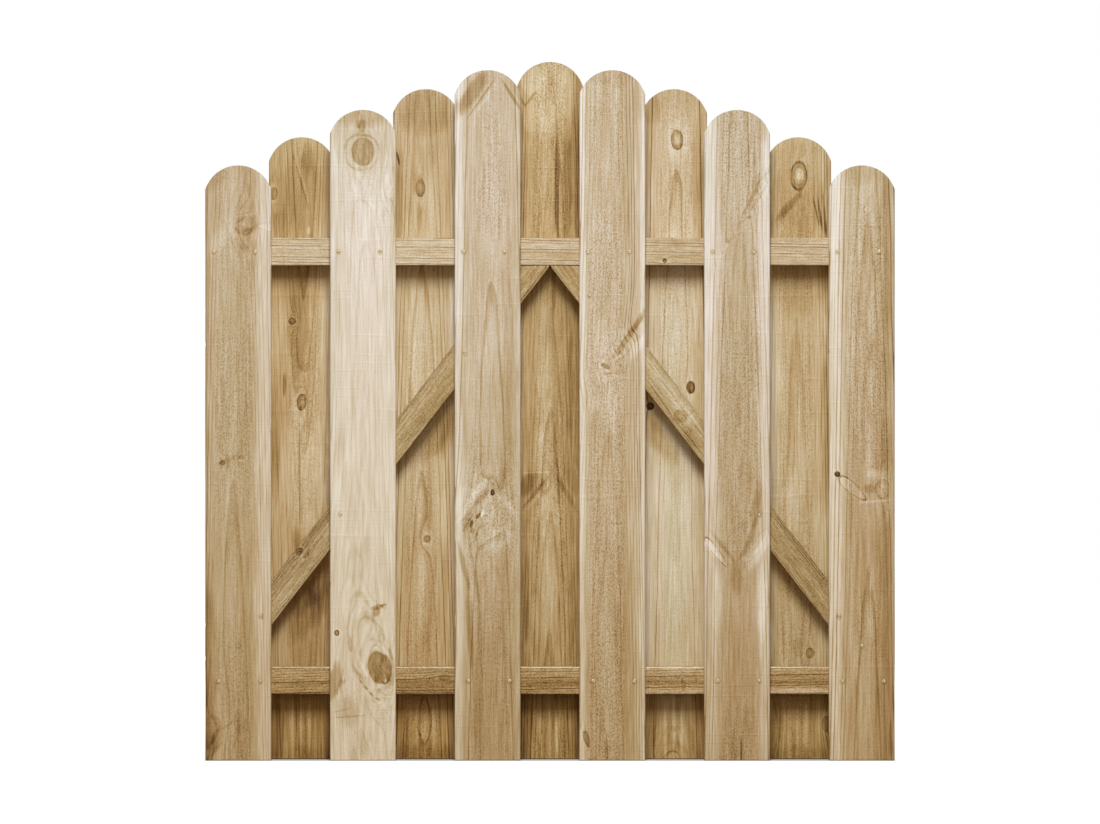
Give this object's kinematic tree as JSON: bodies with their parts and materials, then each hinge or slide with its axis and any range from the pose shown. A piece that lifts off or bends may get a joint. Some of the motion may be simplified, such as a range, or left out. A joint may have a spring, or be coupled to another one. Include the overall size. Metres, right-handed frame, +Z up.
{
  "type": "garden gate",
  "caption": "Arched wooden garden gate leaf: round-topped upright boards nailed alternately to both faces of a frame of rails and diagonal braces, ready for hinges and a latch.",
  "frame": {"origin": "middle of the foot of the leaf, on the plane halfway between its front and back faces", "axes": "+X to the right seen from the front, +Y from the front to the back, +Z up"},
  "size_m": [0.985, 0.072, 1],
  "materials": {
    "front_boards": "planed pressure-treated pine, matte",
    "back_boards": "planed pressure-treated pine, matte",
    "rails": "planed pressure-treated pine, matte",
    "braces": "planed pressure-treated pine, matte",
    "nails": "galvanised, dull"
  },
  "bodies": {
    "root": {"front_board_1": "front_boards", "front_board_2": "front_boards", "front_board_3": "front_boards", "front_board_4": "front_boards", "front_board_5": "front_boards", "front_board_6": "front_boards", "back_board_1": "back_boards", "back_board_2": "back_boards", "back_board_3": "back_boards", "back_board_4": "back_boards", "back_board_5": "back_boards", "upper_rail": "rails", "lower_rail": "rails", "left_brace": "braces", "right_brace": "braces", "front_board_1_nails": "nails", "front_board_2_nails": "nails", "front_board_3_nails": "nails", "front_board_4_nails": "nails", "front_board_5_nails": "nails", "front_board_6_nails": "nails", "back_board_1_nails": "nails", "back_board_2_nails": "nails", "back_board_3_nails": "nails", "back_board_4_nails": "nails", "back_board_5_nails": "nails"}
  },
  "joints": []
}
